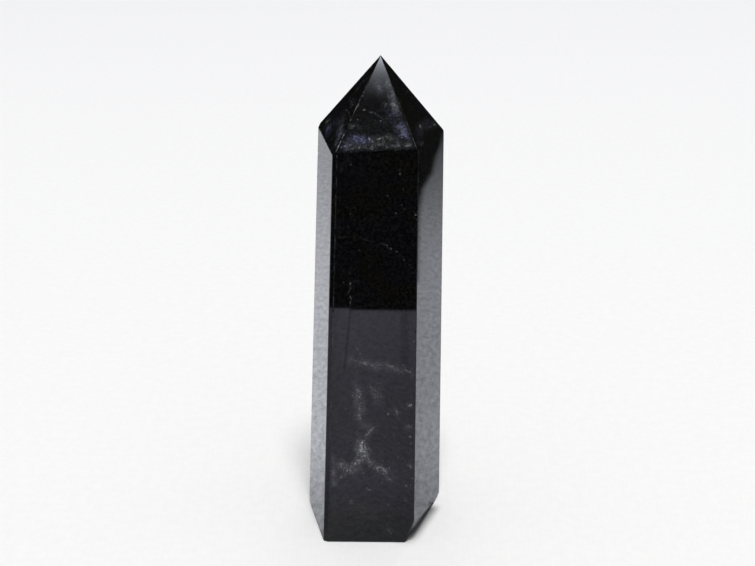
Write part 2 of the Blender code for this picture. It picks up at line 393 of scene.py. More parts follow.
def breadth(face):
    """Roughly how wide a face is: its area over its longest edge."""
    return face.calc_area() / max(edge.calc_length() for edge in face.edges)


def nick(dice):
    """How far one corner of a worn band is set back into its face, in mm."""
    if dice.random() < NICK_CHANCE:
        return dice.uniform(*NICK_DEPTH)
    return dice.uniform(0.0, WEAR_WANDER)


def worn_parts(parts, worn, wear_and_highlight, along, shift):
    """Makes the parts of a worn band unevenly worn and pale, from its lower to its upper end; the
    paleness is partly a painted highlight.
    """
    low, high = wear_and_highlight
    heights = [part.calc_center_median().z for part in parts]
    tall = max(max(heights) - min(heights), LEAST_TALL)
    for part in parts:
        middle = part.calc_center_median()
        run = middle.dot(along)
        uneven = WEAR_USUAL
        for row, (strength, waves) in enumerate(WEAR_PATCHES):
            uneven += strength * noise.noise(Vector((run * waves, shift, row * WEAR_ROWS)))
        uneven = max(WEAR_RANGE[0], min(WEAR_RANGE[1], uneven))
        share = (middle.z - min(heights)) / tall
        part[worn] = (low + (high - low) * share**FADE_UP) * uneven


def roughen_bands(mesh, worn, bands, dice):
    """Divides each worn band along its length, and makes it uneven in width and wear."""
    numbered = {round(face[worn]): face for face in mesh.faces if face[worn] > 0.0}
    is_band = set(numbered.values())
    for number, band in sorted(numbered.items()):
        sides = sorted(band.edges, key=lambda item: -item.calc_length())[:2]
        count = int(min(side.calc_length() for side in sides) / WEAR_STEP)
        if count < LEAST_PARTS:
            band[worn] = sum(bands[number]) / 2.0
            continue
        along = (sides[0].verts[1].co - sides[0].verts[0].co).normalized()
        rows = []
        for side in sides:
            ends = sorted(side.verts, key=lambda vert: vert.co.dot(along))
            beside = next(face for face in side.link_faces if face is not band)
            into = beside.normal.cross(along).normalized()
            if into.dot(beside.calc_center_median() - ends[0].co) < 0.0:
                into.negate()
            deep = beside not in is_band and breadth(beside) > NARROW_FACE
            rows.append((divided(side, ends, count), into, deep))
        parts = [band]
        for left, right in zip(rows[0][0], rows[1][0]):
            part = next(item for item in left.link_faces if item in right.link_faces)
            parts.append(bmesh.utils.face_split(part, left, right)[0])
        is_band.update(parts)
        worn_parts(parts, worn, bands[number], along, dice.uniform(0.0, WEAR_SHIFT))
        for corners, into, deep in rows:
            for corner in corners:
                reach = nick(dice)
                corner.co += into * (reach if deep else min(reach, NARROW_WANDER))
    mesh.normal_update()


def divided(edge, ends, count):
    """Splits an edge into count parts from the first of its ends, and returns the splits."""
    near, far = ends
    made = []
    for left in range(count, 1, -1):
        _, vert = bmesh.utils.edge_split(edge, near, 1.0 / left)
        made.append(vert)
        edge = next(item for item in vert.link_edges if far in item.verts)
        near = vert
    return made


# ---------------------------------------------------------------- chips


class Chip(NamedTuple):
    """A shell-shaped hollow at an edge or corner of the crystal, in mm."""

    name: str
    place: Vector
    way: Vector
    radius: float
    depth: float


def meeting_point(planes, ways):
    """The corner where the three faces that look these ways meet."""
    chosen = [max(planes, key=lambda plane: plane[0].dot(outward(*way))) for way in ways]
    rows = Matrix([normal for normal, _ in chosen])
    return rows.inverted() @ Vector([reach for _, reach in chosen])


def chips(planes):
    """The chip at the right shoulder, the one at the foot of the right face, and small nicks."""
    shoulder = meeting_point(planes, (RIGHT, REAR_RIGHT, PYRAMID_RIGHT))
    shoulder_way = outward(*RIGHT) + outward(*REAR_RIGHT) + outward(*PYRAMID_RIGHT)
    foot = meeting_point(planes, (RIGHT, REAR_RIGHT, BASE))
    along_foot = Matrix.Rotation(radians(RIGHT.azimuth), 3, "Z") @ Vector((-1.0, 0.0, 0.0))
    foot_way = outward(RIGHT.azimuth, -FOOT_CHIP_DROP)
    left_foot = meeting_point(planes, (LEFT, REAR_LEFT, BASE))
    left_top = meeting_point(planes, (LEFT, REAR_LEFT, PYRAMID_LEFT))
    left_way = outward(*LEFT) + outward(*REAR_LEFT)
    front_foot = meeting_point(planes, (FRONT, LEFT, BASE))
    return (
        Chip("shoulder", shoulder, shoulder_way, *SHOULDER_CHIP),
        Chip("foot", foot + along_foot * FOOT_CHIP_ALONG, foot_way, *FOOT_CHIP),
        Chip("left_edge", left_foot.lerp(left_top, EDGE_CHIP_UP), left_way, *EDGE_CHIP),
        Chip("front_foot", front_foot, outward(*FRONT_FOOT_WAY), *FRONT_FOOT_CHIP),
    )


def bite(piece, chip):
    """Takes a chip out of the piece."""
    mesh = bmesh.new()
    bmesh.ops.create_icosphere(mesh, subdivisions=CHIP_DETAIL, radius=chip.radius)
    centre = chip.place + chip.way.normalized() * (chip.radius - chip.depth)
    for vert in mesh.verts:
        # a shell fracture has ripples round the point where it was struck
        from_blow = (vert.co - chip.way.orthogonal().normalized() * chip.radius).length
        ripple = CHIP_RIPPLE[0] * chip.radius * sin(from_blow / chip.radius * CHIP_RIPPLE[1])
        rough = noise.noise(vert.co * CHIP_ROUGHNESS[1] + centre)
        rough *= CHIP_ROUGHNESS[0] * chip.radius
        vert.co += vert.co.normalized() * (ripple + rough)
    mesh.transform(Matrix.Translation(centre))
    layer = mesh.faces.layers.float.new("wear_and_highlight")
    for face in mesh.faces:
        face[layer] = CHIP_WEAR
    cutter = placed("chip_" + chip.name, mesh)
    boolean = piece.modifiers.new(chip.name, "BOOLEAN")
    boolean.operation = "DIFFERENCE"
    boolean.solver = "EXACT"
    boolean.object = cutter
    bpy.context.view_layer.update()
    graph = bpy.context.evaluated_depsgraph_get()
    made = bpy.data.meshes.new_from_object(piece.evaluated_get(graph))
    piece.modifiers.clear()
    old, piece.data = piece.data, made
    bpy.data.meshes.remove(old)
    bpy.data.objects.remove(cutter, do_unlink=True)


# ---------------------------------------------------------------- flaws in the faces


class Flat:
    """A flat face's own plane, with x across it, level, and y up its slope."""

    def __init__(self, face, way):
        self.base = face.verts[0].co.copy()
        self.normal = face.normal.copy()
        self.level = Vector((cos(radians(way.azimuth)), sin(radians(way.azimuth)), 0.0))
        self.across = self.level - self.normal * self.normal.dot(self.level)
        self.across.normalize()
        self.up = self.normal.cross(self.across).normalized()

    def spot(self, place):
        """Where (across, height) lies in the plane, across being level."""
        rows = Matrix([self.level, Vector((0.0, 0.0, 1.0)), self.normal])
        wanted = Vector((place[0], place[1], self.normal.dot(self.base)))
        return self.flat(rows.inverted() @ wanted)

    def flat(self, point):
        """A point of the plane in its own two directions."""
        away = point - self.base
        return Vector((away.dot(self.across), away.dot(self.up)))

    def solid(self, spot):
        """The other way round."""
        return self.base + self.across * spot[0] + self.up * spot[1]


def gap(spot, path):
    """How far a spot is from a path."""
    least = 1e9
    for start, end in zip(path, path[1:]):
        way = end - start
        share = max(0.0, min(1.0, (spot - start).dot(way) / max(way.length_squared, 1e-12)))
        least = min(least, (spot - start - way * share).length)
    return least


def nearest(spot, path):
    """The number of the corner of a path that is nearest to a spot."""
    return min(range(len(path)), key=lambda item: (path[item] - spot).length)


def wandering(path, dice, wander):
    """The path in short steps that stray a little to each side."""
    shift = dice.uniform(0.0, WANDER_SHIFT)
    made, run = [path[0]], 0.0
    for start, end in zip(path, path[1:]):
        way = end - start
        side = Vector((-way.y, way.x)).normalized()
        steps = max(1, ceil(way.length / FLAW_STEP))
        for step in range(1, steps + 1):
            run += way.length / steps
            stray = 1.0 if step < steps or end is not path[-1] else END_WANDER
            stray *= sum(
                reach * noise.noise(Vector((run * waves, shift, row * WANDER_ROWS)))
                for row, (reach, waves) in enumerate(wander)
            )
            made.append(start + way * (step / steps) + side * stray)
    return made


def holds(rim, spot):
    """True if the rim, a closed row of spots, goes round the spot."""
    found = False
    for start, end in zip(rim, rim[1:] + rim[:1]):
        if (start.y > spot.y) != (end.y > spot.y):
            share = (spot.y - start.y) / (end.y - start.y)
            if spot.x < start.x + (end.x - start.x) * share:
                found = not found
    return found


def taper(values, ends):
    """Makes the strengths along a flaw fade to this share at its two ends."""
    count = len(values)
    for index in range(count):
        share = min(index, count - 1 - index) / max(1.0, count * TAPER)
        values[index] *= min(1.0, ends + share)


class Drawing:
    """The flaws of one face, gathered as spots and lines for its triangulation."""

    def __init__(self, flat, rim, planes, dice):
        self.flat, self.planes, self.dice = flat, planes, dice
        self.spots = list(rim)
        self.lines = [(index, (index + 1) % len(rim)) for index in range(len(rim))]
        self.cracks, self.veils, self.dots = [], [], []

    def inside(self, spot):
        """True if a spot is well inside the face's rim."""
        point, normal = self.flat.solid(spot), self.flat.normal
        return all(
            reach - other.dot(point) > FACE_MARGIN * sin(other.angle(normal))
            for other, reach in self.planes
            if other.dot(normal) < cos(radians(SAME_ANGLE))
        )

    def add_line(self, spots):
        """A row of spots joined by lines, where it lies inside the face."""
        before = None
        for spot in spots:
            if self.inside(spot):
                self.spots.append(spot)
                if before is not None:
                    self.lines.append((before, len(self.spots) - 1))
                before = len(self.spots) - 1
            else:
                before = None

    def add(self, flaw, kind):
        """A crack or veil: its line, and a line on each side where it has faded out."""
        dice, is_crack = self.dice, kind is self.cracks
        path = [self.flat.spot(place) for place in flaw.points]
        path = wandering(path, dice, FLAW_WANDER if is_crack else ())
        shift = dice.uniform(0.0, FLAW_SHIFT)
        values = []
        for index in range(len(path)):
            share = FLAW_USUAL
            share += FLAW_PATCHES[0] * noise.noise(Vector((index * FLAW_PATCHES[1], shift, 0.0)))
            if is_crack:
                share += BEAD if dice.random() < BEAD_CHANCE else dice.uniform(*BEAD_GAP)
            values.append(flaw.strength * max(FLAW_RANGE[0], min(FLAW_RANGE[1], share)))
        taper(values, 0.0 if is_crack else VEIL_END)
        self.add_line(path)
        for side in (-1.0, 1.0):
            beside = []
            for index, spot in enumerate(path):
                near, far = path[max(0, index - 1)], path[min(len(path) - 1, index + 1)]
                way = (far - near).normalized()
                reach = side * flaw.width * dice.uniform(*FLAW_EDGE)
                beside.append(spot + Vector((-way.y, way.x)) * reach)
            self.add_line(beside)
        kind.append((path, values, flaw.width, flaw.blue))

    def add_dot(self, across, height, width, strength):
        """A speck: its middle, and a ring where it has faded out."""
        middle = self.flat.spot((across, height))
        if not self.inside(middle):
            return
        self.spots.append(middle)
        turn = self.dice.uniform(0.0, pi)
        for corner in range(DOT_CORNERS):
            angle = turn + corner * 2.0 * pi / DOT_CORNERS
            reach = width * self.dice.uniform(*DOT_EDGE)
            self.spots.append(middle + Vector((cos(angle), sin(angle))) * reach)
        self.dots.append((middle, strength, width))

    def crack_at(self, spot):
        """How strong the cracks and specks are at a spot."""
        found = 0.0
        for path, values, width, _ in self.cracks:
            for index, place in enumerate(path):
                if (spot - place).length < SAME_SPOT:
                    found = max(found, values[index])
            closeness = 1.0 - gap(spot, path) / (width * CORE)
            if closeness > 0.0:
                found = max(found, values[nearest(spot, path)] * closeness * BESIDE_CRACK)
        for middle, strength, width in self.dots:
            closeness = 1.0 - (spot - middle).length / (width * CORE)
            found = max(found, strength * closeness)
        return found

    def veil_at(self, spot):
        """How strong the veils are at a spot, and how blue."""
        found, blue = 0.0, 0.0
        for path, values, width, tint in self.veils:
            closeness = 1.0 - gap(spot, path) / width
            if closeness > 0.0:
                strength = values[nearest(spot, path)] * closeness
                blue = max(blue, tint * strength)
                found = max(found, strength)
        return found, blue


def grown_flaws(flat, corners, dice, count, strength):
    """Cracks, veils and specks at random, for a face whose corners are given."""
    across = [corner.co.dot(flat.level) for corner in corners]
    heights = [corner.co.z for corner in corners]

    def anywhere():
        side = dice.uniform(min(across), max(across))
        return Vector((side, dice.uniform(min(heights), max(heights))))

    cracks, veils, specks = [], [], []
    for _ in range(count):
        path, heading = [anywhere()], dice.uniform(0.0, 2.0 * pi)
        for _ in range(dice.randint(*GROWN_STEPS)):
            heading += dice.uniform(-GROWN_TURN, GROWN_TURN)
            step = Vector((cos(heading), sin(heading))) * dice.uniform(*GROWN_STEP)
            path.append(path[-1] + step)
        plain = strength * dice.uniform(*GROWN_STRENGTH)
        cracks.append(Flaw(tuple(path), dice.uniform(*GROWN_CRACK), plain))
        if dice.random() < GROWN_VEIL_CHANCE:
            veils.append(Flaw(tuple(path[:2]), dice.uniform(*GROWN_VEIL), plain, dice.random()))
        for _ in range(GROWN_SPECKS):
            specks.append((*anywhere(), dice.uniform(*GROWN_SPECK), plain))
    return cracks, veils, specks


def face_towards(mesh, way):
    """The largest face that looks this way."""
    return max(
        (face for face in mesh.faces if face.normal.dot(outward(*way)) > cos(radians(DRAWN_WAY))),
        key=lambda item: item.calc_area(),
    )


def draw_flaws(mesh, way, planes, dice, grown=None):
    """Divides the face that looks this way along its flaws, and stores their strengths."""
    face = face_towards(mesh, way)
    flat = Flat(face, way)
    corners = list(face.verts)
    rim = [flat.flat(vert.co) for vert in corners]
    drawing = Drawing(flat, rim, planes, dice)
    cracks, veils, specks = (list(kind.get(way, ())) for kind in (CRACKS, VEILS, SPECKS))
    if grown:
        for kind, more in zip((cracks, veils, specks), grown_flaws(flat, corners, dice, *grown)):
            kind += more
    for flaw in cracks:
        drawing.add(flaw, drawing.cracks)
        if flaw.strength > HAZY_CRACK:
            haze = flaw.strength * CRACK_HAZE[1]
            drawing.add(Flaw(flaw.points, CRACK_HAZE[0], haze), drawing.veils)
    for flaw in veils:
        drawing.add(flaw, drawing.veils)
    for speck in specks:
        drawing.add_dot(*speck)
    mesh.faces.remove(face)
    cover(mesh, drawing, rim, corners)


def cover(mesh, drawing, rim, corners):
    """Fills a rim with triangles along the drawing's lines, and stores the flaws' strengths."""
    made = delaunay_2d_cdt(drawing.spots, drawing.lines, [], 0, SAME_SPOT, True)
    layers = [mesh.verts.layers.float[name] for name in FLAW_LAYERS]
    verts = []
    for spot, source in zip(made[0], made[3]):
        rim_index = next((item for item in source if item < len(rim)), None)
        if rim_index is not None:
            verts.append(corners[rim_index])
            continue
        vert = mesh.verts.new(drawing.flat.solid(spot))
        for layer, value in zip(layers, (drawing.crack_at(spot), *drawing.veil_at(spot))):
            vert[layer] = value
        verts.append(vert)
    for triangle in made[2]:
        middle = sum((made[0][index] for index in triangle), Vector((0.0, 0.0))) / 3.0
        if holds(rim, middle):
            mesh.faces.new([verts[index] for index in triangle]).normal_update()


# ---------------------------------------------------------------- materials


class Change(NamedTuple):
    """A number that goes from before to after while a place goes from start to end, in mm."""

    start: float
    end: float
    before: float = 0.0
    after: float = 1.0


class Nodes:
    """A new material, and short ways to add nodes to it."""

    def __init__(self, name):
        self.material = bpy.data.materials.new(name)
        self.material.use_nodes = True
        self.tree = self.material.node_tree
        self.tree.nodes.clear()

    def feed(self, socket, value):
        """Gives a socket a number, colour or another node's output."""
        if isinstance(value, bpy.types.NodeSocket):
            self.tree.links.new(value, socket)
        else:
            socket.default_value = value

    def add(self, kind, inputs=None, **settings):
        """A node with these settings, and with these inputs by name or number."""
        node = self.tree.nodes.new(kind)
        for name, value in settings.items():
            setattr(node, name, value)
        for name, value in (inputs or {}).items():
            self.feed(node.inputs[name], value)
        return node

    def math(self, operation, *values, clamp=False):
        """A sum, product or the like."""
        inputs = dict(enumerate(values))
        return self.add("ShaderNodeMath", inputs, operation=operation, use_clamp=clamp).outputs[0]

    def product(self, *factors):
        """All of these multiplied."""
        return reduce(lambda one, other: self.math("MULTIPLY", one, other), factors)

    def most(self, *values):
        """The largest of these."""
        return reduce(lambda one, other: self.math("MAXIMUM", one, other), values)

    def weighted(self, *pairs):
        """The sum of values, each multiplied by the weight that comes after it."""
        total = 0.0
        for value, weight in pairs:
            total = self.math("MULTIPLY_ADD", value, weight, total)
        return total

    def ramp(self, value, low, high, to_low=0.0, to_high=1.0, smooth=True):
        """Maps low to high onto to_low to to_high."""
        limits = {"From Min": low, "From Max": high, "To Min": to_low, "To Max": to_high}
        kind = "SMOOTHSTEP" if smooth else "LINEAR"
        inputs = {"Value": value, **limits}
        return self.add("ShaderNodeMapRange", inputs, interpolation_type=kind).outputs["Result"]

    def changed(self, place, change):
        """The number that a Change gives at a place in metres."""
        return self.ramp(place, change.start * MM, change.end * MM, change.before, change.after)

    def each_changed(self, place, changes):
        """The numbers that several Changes give there."""
        return [self.changed(place, change) for change in changes]

    def place(self):
        """Object coordinates, in metres."""
        return self.add("ShaderNodeTexCoord").outputs["Object"]

    def axes(self, place):
        """The X and Y of a place."""
        parts = self.add("ShaderNodeSeparateXYZ", {"Vector": place})
        return parts.outputs["X"], parts.outputs["Y"]

    def noise(self, place, scale, detail, roughness, distortion=0.0):
        """Noise of this many waves to the metre."""
        inputs = {"Scale": scale, "Detail": detail, "Roughness": roughness}
        inputs.update({"Vector": place, "Distortion": distortion})
        return self.add("ShaderNodeTexNoise", inputs).outputs["Fac"]

    def attribute(self, name):
        """A number stored on the mesh."""
        return self.add("ShaderNodeAttribute", attribute_name=name).outputs["Fac"]

    def mix(self, share, first, second):
        """A mix of two colours."""
        inputs = {"Factor": share, "A": first, "B": second}
        return self.add("ShaderNodeMix", inputs, data_type="RGBA").outputs["Result"]

    def finish(self, shader, volume=None):
        """Joins the shader to the material's output, and returns the material."""
        out = self.add("ShaderNodeOutputMaterial", {"Surface": shader.outputs[0]})
        if volume:
            self.feed(out.inputs["Volume"], volume.outputs[0])
        return self.material

    def glow(self, colour, strength):
        """Finishes the material as one that glows."""
        return self.finish(self.add("ShaderNodeEmission", {"Color": colour, "Strength": strength}))


QUARTZ_IOR = 1.544
SEE_THROUGH = 0.25  # how much of the light that enters a face crosses the quartz
SMOKE = (0.30, 0.22, 0.14, 1.0)  # the colour of the light that gets through
SMOKE_DENSITY = 5200.0  # to the metre
BLACK_OLIVE = (0.0046, 0.0044, 0.0036, 1.0)
BLACK_NAVY = (0.0041, 0.0041, 0.0055, 1.0)
PALE_FLAW = (0.62, 0.64, 0.66, 1.0)
BLUE_FLAW = (0.46, 0.50, 0.86, 1.0)
FLAW_TONE = 0.65  # roughly how bright the pale colour is

# Noises: waves to the metre, detail, roughness and distortion
GRAIN = (3600.0, 3.0, 0.65)
FLECK = (2100.0, 2.0, 0.6)
CLOUD = (900.0, 4.0, 0.6, 0.6)
DRIFT = (120.0, 3.0, 0.55, 0.4)
FRACTURE = (85.0, 3.0, 0.55, 1.4)
SMEAR = (260.0, 4.0, 0.6, 0.8)
STREAKS = (1500.0, 2.0, 0.5)
CHATTER = (2600.0, 2.0, 0.6)
RIPPLE = (420.0, 2.0, 0.5)
SWELL = (38.0, 1.0, 0.4)
BUBBLES = 520.0  # to the metre
STREAK_STRETCH = (1.0, 1.0, 0.12)  # streaks and ripples run up the crystal

# How pale a kind of flaw is at its strongest; the rubbed edges' paleness is partly a painted
# highlight
THREAD_PALE, WISPS_PALE, SPARKLE_PALE = 0.20, 0.15, 0.12
SEAM_PALE, BUBBLE_PALE, RUBBED_AND_HIGHLIT_PALE = 0.022, 0.05, 0.34

# What a crack and a worn edge add to the roughness
CRACK_ROUGH, WEAR_ROUGH = 0.10, 0.40

# Heights on the polished faces, in m
SWELL_HEIGHT, RIPPLE_HEIGHT = 0.0000030, 0.00000025
CHATTER_HEIGHT, CRACK_HEIGHT = 0.00012, 0.000004


def milkiness(n, place, grain, drift, crack, veil, wear_and_highlight):
    """How pale the flaws make the quartz, from 0 to 1."""
    cloud = n.noise(place, *CLOUD)
    # cracks: a bright thread that breaks up into beads
    thread = n.product(
        n.math("POWER", crack, 1.2),
        n.ramp(grain, 0.40, 0.66, 0.24, 1.5),
        n.ramp(cloud, 0.40, 0.60, 0.50, 1.2),
    )
    # veils: clouds of fine bubbles
    wisps = n.product(
        veil,
        n.ramp(cloud, 0.38, 0.68, 0.28, 1.0),
        n.ramp(grain, 0.36, 0.66, 0.35, 1.6),
    )
    sparkle = n.product(n.math("POWER", veil, 0.8), n.ramp(grain, 0.60, 0.78))
    # faint healed fractures everywhere: thin level lines of a warped noise, in patches
    level = n.math("ABSOLUTE", n.math("SUBTRACT", n.noise(place, *FRACTURE), 0.5))
    seam = n.product(
        n.ramp(level, 0.0, 0.012, 1.0, 0.0),
        n.ramp(drift, 0.56, 0.72),
        n.ramp(grain, 0.4, 0.7, 0.2, 1.0),
    )
    # pinpoint bubbles, in a few of many cells
    cells = n.add("ShaderNodeTexVoronoi", {"Vector": place, "Scale": BUBBLES}, feature="F1")
    pick = n.add("ShaderNodeSeparateColor", {"Color": cells.outputs["Color"]})
    bubble = n.ramp(cells.outputs["Distance"], 0.05, 0.12, 1.0, 0.0)
    bubble = n.product(bubble, n.ramp(pick.outputs["Red"], 0.93, 0.99))
    # worn edges: pale where rubbed, partly a painted highlight along each edge
    rubbed_and_highlit = n.product(wear_and_highlight, n.ramp(grain, 0.35, 0.7, 0.4, 1.3))
    pale = n.weighted(
        (thread, THREAD_PALE),
        (wisps, WISPS_PALE),
        (sparkle, SPARKLE_PALE),
        (seam, SEAM_PALE),
        (bubble, BUBBLE_PALE),
        (rubbed_and_highlit, RUBBED_AND_HIGHLIT_PALE),
    )
    return n.math("DIVIDE", pale, (1.0 - SEE_THROUGH) * FLAW_TONE, clamp=True)


def black_quartz(n, place, grain, drift):
    """The colour of the quartz without flaws: black, mottled olive and navy."""
    fleck = n.noise(place, *FLECK)
    mottle = n.product(n.ramp(grain, 0.3, 0.7, 0.5, 1.5), n.ramp(fleck, 0.38, 0.68, 0.45, 1.9))
    dark = n.mix(n.ramp(drift, 0.42, 0.6), BLACK_OLIVE, BLACK_NAVY)
    return n.add("ShaderNodeVectorMath", {0: dark, "Scale": mottle}, operation="SCALE").outputs[0]


def morion_material():
    """Black smoky quartz: see-through glass so brown that it looks black, with pale flaws."""
    n = Nodes("morion_quartz")
    place = n.place()
    crack, veil, blue, wear_and_highlight = (n.attribute(name) for name in (*FLAW_LAYERS, "wear_and_highlight"))
    grain, drift = n.noise(place, *GRAIN), n.noise(place, *DRIFT)
    blueness = n.math("DIVIDE", blue, n.math("MAXIMUM", veil, 0.001))
    milk = milkiness(n, place, grain, drift, crack, veil, wear_and_highlight)
    flaw_colour = n.mix(blueness, PALE_FLAW, BLUE_FLAW)
    colour = n.mix(milk, black_quartz(n, place, grain, drift), flaw_colour)

    # polish: nearly a mirror, with smears, and matt where it is worn
    stretched = n.add("ShaderNodeMapping", {"Vector": place, "Scale": STREAK_STRETCH})
    drawn_out = stretched.outputs["Vector"]
    gloss = n.weighted(
        (n.ramp(n.noise(place, *SMEAR), 0.35, 0.7, 0.014, 0.030), 1.0),
        (n.ramp(n.noise(drawn_out, *STREAKS), 0.5, 0.8, 0.0, 0.012), 1.0),
        (crack, CRACK_ROUGH),
        (wear_and_highlight, WEAR_ROUGH),
    )

    # the hand-ground faces are never quite flat
    height = n.weighted(
        (n.noise(place, *SWELL), SWELL_HEIGHT),
        (n.noise(drawn_out, *RIPPLE), RIPPLE_HEIGHT),
        (n.product(n.noise(place, *CHATTER), wear_and_highlight), CHATTER_HEIGHT),
        (crack, CRACK_HEIGHT),
    )
    bump = n.add("ShaderNodeBump", {"Strength": 1.0, "Distance": 1.0, "Height": height})

    surface = {"Base Color": colour, "Roughness": gloss, "Normal": bump.outputs["Normal"]}
    surface.update({"IOR": QUARTZ_IOR, "Transmission Weight": SEE_THROUGH})
    smoke = {"Color": SMOKE, "Density": SMOKE_DENSITY}
    return n.finish(
        n.add("ShaderNodeBsdfPrincipled", surface), n.add("ShaderNodeVolumeAbsorption", smoke)
    )


# ---------------------------------------------------------------- the crystal

SEED = 19


def morion_tower(node):
    """The crystal with its worn edges, chips and flaws, in place of the CAD node."""
    dice = Random(SEED)
    planes = ground_planes(node.data)
    mesh = polished_block(planes)
    worn, bands = wear_edges(mesh, dice)
    roughen_bands(mesh, worn, bands, dice)
    piece = placed("morion_tower", mesh)
    for chip in chips(planes):
        bite(piece, chip)
    mesh = bmesh.new()
    mesh.from_mesh(piece.data)
    mesh.normal_update()
    for name in FLAW_LAYERS:
        mesh.verts.layers.float.new(name)
    for way in (FRONT, PYRAMID_FRONT):
        draw_flaws(mesh, way, planes, dice)
    for way, *grown in GROWN_FLAWS:
        draw_flaws(mesh, way, planes, dice, grown)
    bmesh.ops.scale(mesh, vec=(MM, MM, MM), verts=mesh.verts)
    bmesh.ops.recalc_face_normals(mesh, faces=mesh.faces)
    mesh.to_mesh(piece.data)
    mesh.free()
    piece.data.name = "morion_tower"
    for polygon in piece.data.polygons:
        polygon.use_smooth = False
    piece.data.materials.append(morion_material())
    return piece


# ---------------------------------------------------------------- stage

FLOOR_RADIUS = 3.2
FLOOR_CORNERS = 96
FLOOR_SINK = 0.00002  # m below the crystal's base
FLOOR_NEAR = (0.885, 0.885, 0.878, 1.0)
FLOOR_FAR = (0.888, 0.888, 0.901, 1.0)
FLOOR_COLOUR = Change(0.0, 550.0)  # towards the far colour
FLOOR_ROUGHNESS = 0.9
WEAVE = 1.2  # mm from thread to thread
WEAVE_TONE = 0.004  # how much lighter a thread is
SLUB = (500.0, 3.0, 0.6)  # noise of the uneven yarn
SLUB_TONE = 0.012
CHAMFER_FOOT = (6.27, -13.7)  # mm, where the front right chamfer's lower edge starts
CHAMFER_RUN = 22.1  # degrees from +Y towards +X, the way in which it runs

# The painted shadow on the floor under that chamfer: along its lower edge, and out from it
PAINTED_SHADE_ALONG = (Change(-2.0, 5.0), Change(13.5, 16.5, 1.0, 0.0))
PAINTED_SHADE_OUT = (Change(0.0, 2.7, 0.79, 0.0), Change(-3.0, -1.0))

# The outline of the part of the sheet that the polished faces mirror, in mm. Its far right
# edge is what draws the curved line across the right face, and its near edge the level one
# across the front face.
SHEET_RIM = (
    (260.0, -146.0), (260.0, -40.0), (150.0, 60.0), (92.0, 87.0), (80.5, 95.0),
    (78.9, 102.5), (90.0, 120.6), (103.3, 142.6), (109.6, 153.4), (115.4, 164.0),
    (120.2, 173.2), (122.7, 179.9), (126.8, 190.4), (135.1, 206.5), (140.7, 219.1),
    (162.0, 262.0), (330.0, 620.0), (-560.0, 620.0), (-560.0, -20.0), (-220.0, -70.0),
    (-123.0, -97.0), (-62.0, -140.0), (-30.0, -148.4), (-9.6, -148.4), (-9.3, -147.2),
    (9.7, -146.9),
)
SHEET_FADE = 2.2  # mm over which the sheet's edge fades

# How the sheet's painted light and shade change over it
TO_RIGHT = Change(-35.0, 45.0, 1.16, 0.70)
TO_BACK = Change(-60.0, 15.0, 0.60, 1.0)
FROM_RIM = Change(-150.0, -75.0, 1.36, 1.0)
BY_CRYSTAL = Change(0.0, 42.0, 0.60, 1.0)  # painted shade of the crystal round its foot
FAR_AWAY = Change(110.0, 260.0, 1.0, 0.72)
FAR_RIGHT = Change(120.0, 260.0, 1.0, 0.41)
FAR_RIGHT_WAY = (0.75, 0.6)  # shares of X and Y in how far to the right a place counts
IN_FRONT = (Change(-48.0, -18.0, 1.0, 0.66), Change(-13.0, -8.0))  # the lighter one counts
CORNER = (Change(-17.0, -9.0, 1.0, 0.0), Change(-12.0, 0.0, 1.0, 0.0))  # painted shade at the front left
CORNER_SHADE = Change(40.0, 65.0, 0.42, 0.27)  # with the distance from the crystal

# Under the chamfer, out from its lower edge and along it: how bright the sheet is in its painted
# shade, and where that ends
LIT_OUT, LIT_ALONG, LEAST_LIT = Change(0.20, 0.65), Change(2.0, 10.0, 0.08, 0.48), 0.12
UNDER_OUT = (Change(1.04, 1.10), Change(-0.8, -0.3, 1.0, 0.0))
UNDER_ALONG = (Change(15.8, 16.8), Change(-0.8, 0.0, 1.0, 0.0))

# A painted dark line in the front's reflection and a wide faint one: x in mm, how dark it is with
# the distance from its middle, and where it ends towards the back
STRIPE = (-9.1, Change(0.1, 0.5, 0.62, 1.0), Change(-122.0, -95.0))
STRIPE_START = Change(-150.0, -147.0, 1.0, 0.0)
BAND = (6.5, Change(0.6, 1.6, 0.80, 1.0), Change(-115.0, -95.0))

# Fine unevenness: X and Y of the noise as shares of the distance to the side and of Y, so
# that it is drawn out away from the crystal and looks round from low down
SPECKLE = (900.0, 3.0, 0.8)
SPECKLE_X, SPECKLE_Y = (0.865, -0.5), (0.2, 0.346)

SHEET_LEFT_COLOUR = (0.965, 0.980, 1.05, 1.0)
SHEET_RIGHT_COLOUR = (0.95, 0.985, 1.07, 1.0)
SHEET_FRONT_COLOUR = (0.97, 0.93, 1.15, 1.0)
SHEET_COLOURS = (Change(-20.0, 20.0), Change(-34.0, -16.0, 1.0, 0.0))  # to right, to front

RAYS = ("camera", "diffuse", "glossy", "transmission", "volume_scatter", "shadow")


def stage_object(name, mesh, material, *rays):
    """A new object with this mesh and material, which only these rays meet."""
    item = placed(name, mesh)
    item.data.materials.append(material)
    for ray in RAYS:
        setattr(item, "visible_" + ray, ray in rays)
    return item


def beside_chamfer(n, x, y):
    """How far out from the lower edge of the front right chamfer, and how far along it."""
    across = n.math("SUBTRACT", x, CHAMFER_FOOT[0] * MM)
    ahead = n.math("SUBTRACT", y, CHAMFER_FOOT[1] * MM)
    run, rise = sin(radians(CHAMFER_RUN)), cos(radians(CHAMFER_RUN))
    return n.weighted((across, rise), (ahead, -run)), n.weighted((across, run), (ahead, rise))


